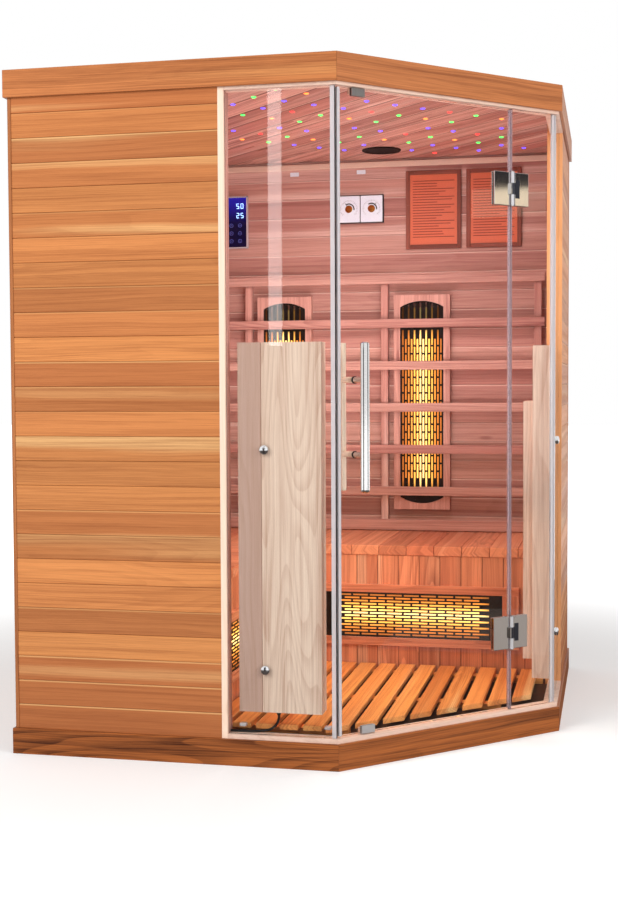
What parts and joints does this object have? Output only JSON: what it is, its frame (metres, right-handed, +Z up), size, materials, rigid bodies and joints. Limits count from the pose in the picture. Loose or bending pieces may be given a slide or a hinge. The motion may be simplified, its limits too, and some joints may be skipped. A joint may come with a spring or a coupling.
{
  "type": "infrared sauna cabin",
  "caption": "Five-sided corner infrared sauna cabin in cedar with an outward-opening diagonal glass door, side glazing, L-shaped bench, slatted backrests and perforated heaters.",
  "frame": {"origin": "on the ground, under the middle of the square that the cabin's cornice fills", "axes": "+Z up; +Y towards the closed back wall; -X towards the closed left wall; the diagonal door faces +X -Y"},
  "size_m": [1.5, 1.5, 1.905],
  "materials": {
    "outer_cedar": "satin clear lacquer on reddish cedar boards",
    "plinth_wood": "satin lacquer on dark figured boards",
    "inner_cedar": "smooth bare cedar",
    "pale_wood": "smooth bare pale hemlock",
    "duckboard_wood": "smooth bare orange cedar",
    "floor_board": "dark sealed board",
    "clear_glass": "polished clear toughened glass",
    "bright_steel": "bright satin steel",
    "grille_black": "matt black stoved paint",
    "emitter_metal": "polished reflector lit amber by its tube",
    "panel_gloss": "gloss dark touch panel",
    "dial_white": "gloss white casing",
    "speaker_black": "matt black moulded grille",
    "lead_black": "black flexible sheath"
  },
  "bodies": {
    "cabin": {"backrest_back": "inner_cedar", "backrest_left": "inner_cedar", "bench_front_back": "inner_cedar", "bench_front_left": "inner_cedar", "bench_seat_back": "inner_cedar", "bench_seat_left": "inner_cedar", "calf_heater_back_emitter": "emitter_metal", "calf_heater_back_grille": "grille_black", "calf_heater_left_emitter": "emitter_metal", "calf_heater_left_grille": "grille_black", "column_left": "pale_wood", "column_left_emitter": "emitter_metal", "column_left_grille": "grille_black", "column_right": "pale_wood", "column_right_emitter": "emitter_metal", "column_right_grille": "grille_black", "control_panel": "panel_gloss", "cornice": "outer_cedar", "duckboard": "duckboard_wood", "floor_panel": "floor_board", "glass_hinge_side": "clear_glass", "glass_left": "clear_glass", "glass_right": "clear_glass", "head_rail": "pale_wood", "heater_back_1_emitter": "emitter_metal", "heater_back_1_frame": "inner_cedar", "heater_back_1_grille": "grille_black", "heater_back_2_emitter": "emitter_metal", "heater_back_2_frame": "inner_cedar", "heater_back_2_grille": "grille_black", "heater_left_1_emitter": "emitter_metal", "heater_left_1_frame": "inner_cedar", "heater_left_1_grille": "grille_black", "heater_left_2_emitter": "emitter_metal", "heater_left_2_frame": "inner_cedar", "heater_left_2_grille": "grille_black", "hinge_bottom_fixed_leaf": "bright_steel", "hinge_bottom_pin": "bright_steel", "hinge_top_fixed_leaf": "bright_steel", "hinge_top_pin": "bright_steel", "jamb_left": "pale_wood", "jamb_right": "pale_wood", "lead": "lead_black", "lead_gland": "lead_black", "plinth": "plinth_wood", "roof_panel": "inner_cedar", "sill": "pale_wood", "speaker": "speaker_black", "twin_dial": "dial_white", "wall_back": "outer_cedar", "wall_front": "outer_cedar", "wall_left": "outer_cedar", "wall_right": "outer_cedar"},
    "door": {"door_glass": "clear_glass", "hinge_bottom_door_leaf": "bright_steel", "hinge_top_door_leaf": "bright_steel", "door_handle": "bright_steel", "inner_grip": "pale_wood", "strike_clip_top": "bright_steel", "strike_clip_bottom": "bright_steel"}
  },
  "joints": [
    {"name": "door_hinge", "type": "hinge", "parent": "cabin", "child": "door", "pos_m": [0.61452, -0.30992, 0.9], "axis": [0, 0, 1], "range_deg": [0, 100]}
  ]
}
